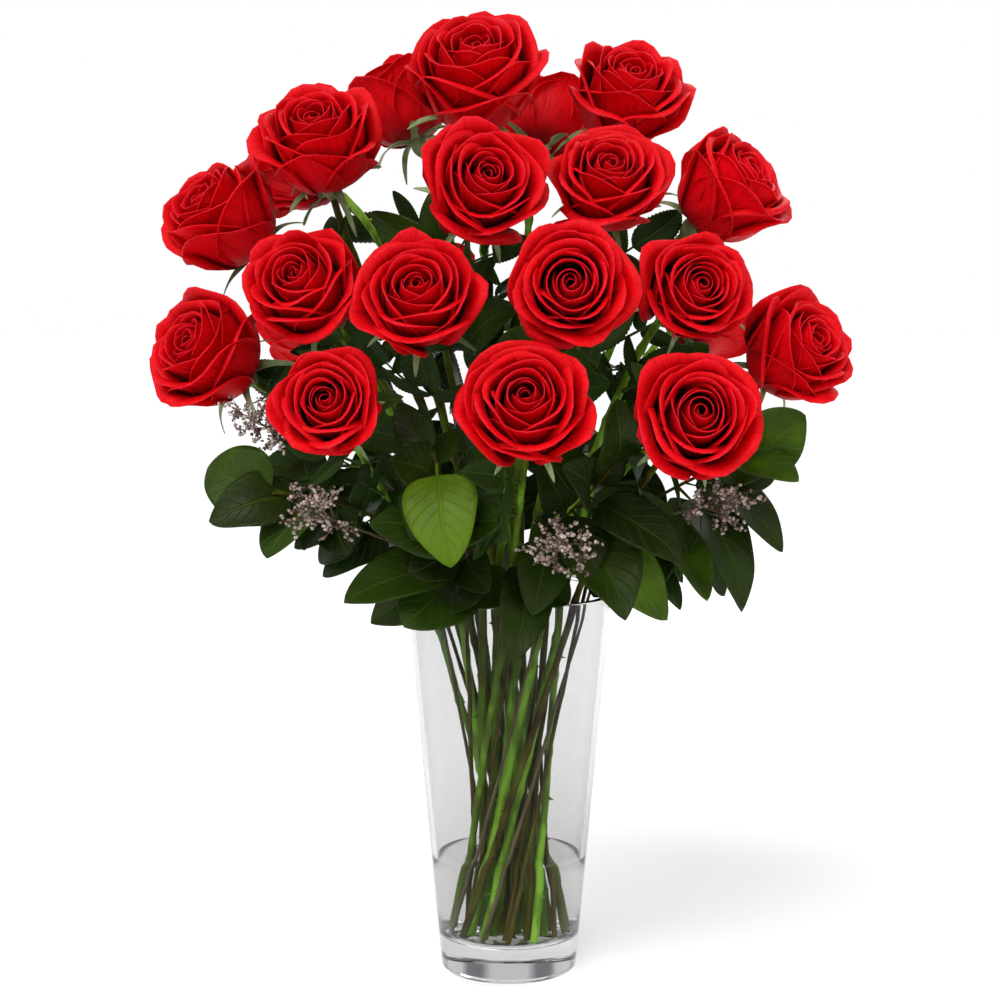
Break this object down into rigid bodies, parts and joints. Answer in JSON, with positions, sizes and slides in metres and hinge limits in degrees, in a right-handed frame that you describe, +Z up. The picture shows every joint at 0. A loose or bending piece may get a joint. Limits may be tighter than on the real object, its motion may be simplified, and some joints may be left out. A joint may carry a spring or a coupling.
{
  "type": "roses in a vase",
  "caption": "Bouquet of long-stemmed red roses with lemon leaf and filler twigs in a tapered clear glass vase with a heavy flat base.",
  "frame": {"origin": "centre of the vase's flat foot, on the surface it stands on", "axes": "+Z up the vase's axis, -Y towards the bouquet's front, +X to the right seen from the front"},
  "size_m": [0.4038, 0.3501, 0.5676],
  "materials": {
    "glass": "clear polished",
    "petal": "velvety",
    "stem": "satin",
    "leaf": "waxy satin",
    "filler": "dry matte"
  },
  "bodies": {
    "root": {"glass_vase": "glass", "rose_01_stem": "stem", "rose_01_bloom": "petal", "rose_02_stem": "stem", "rose_02_bloom": "petal", "rose_03_stem": "stem", "rose_03_bloom": "petal", "rose_04_stem": "stem", "rose_04_bloom": "petal", "rose_05_stem": "stem", "rose_05_bloom": "petal", "rose_06_stem": "stem", "rose_06_bloom": "petal", "rose_07_stem": "stem", "rose_07_bloom": "petal", "rose_08_stem": "stem", "rose_08_bloom": "petal", "rose_09_stem": "stem", "rose_09_bloom": "petal", "rose_10_stem": "stem", "rose_10_bloom": "petal", "rose_11_stem": "stem", "rose_11_bloom": "petal", "rose_12_stem": "stem", "rose_12_bloom": "petal", "rose_13_stem": "stem", "rose_13_bloom": "petal", "rose_14_stem": "stem", "rose_14_bloom": "petal", "rose_15_stem": "stem", "rose_15_bloom": "petal", "rose_16_stem": "stem", "rose_16_bloom": "petal", "rose_17_stem": "stem", "rose_17_bloom": "petal", "rose_18_stem": "stem", "rose_18_bloom": "petal", "rose_19_stem": "stem", "rose_19_bloom": "petal", "rose_20_stem": "stem", "rose_20_bloom": "petal", "rose_21_stem": "stem", "rose_21_bloom": "petal", "rose_22_stem": "stem", "rose_22_bloom": "petal", "rose_23_stem": "stem", "rose_23_bloom": "petal", "rose_24_stem": "stem", "rose_24_bloom": "petal", "lemon_leaf_branch_1": "leaf", "lemon_leaf_branch_2": "leaf", "lemon_leaf_branch_3": "leaf", "lemon_leaf_branch_4": "leaf", "lemon_leaf_branch_5": "leaf", "lemon_leaf_branch_6": "leaf", "lemon_leaf_branch_7": "leaf", "filler_sprig_1": "filler", "filler_sprig_2": "filler", "filler_sprig_3": "filler", "filler_sprig_4": "filler"}
  },
  "joints": []
}
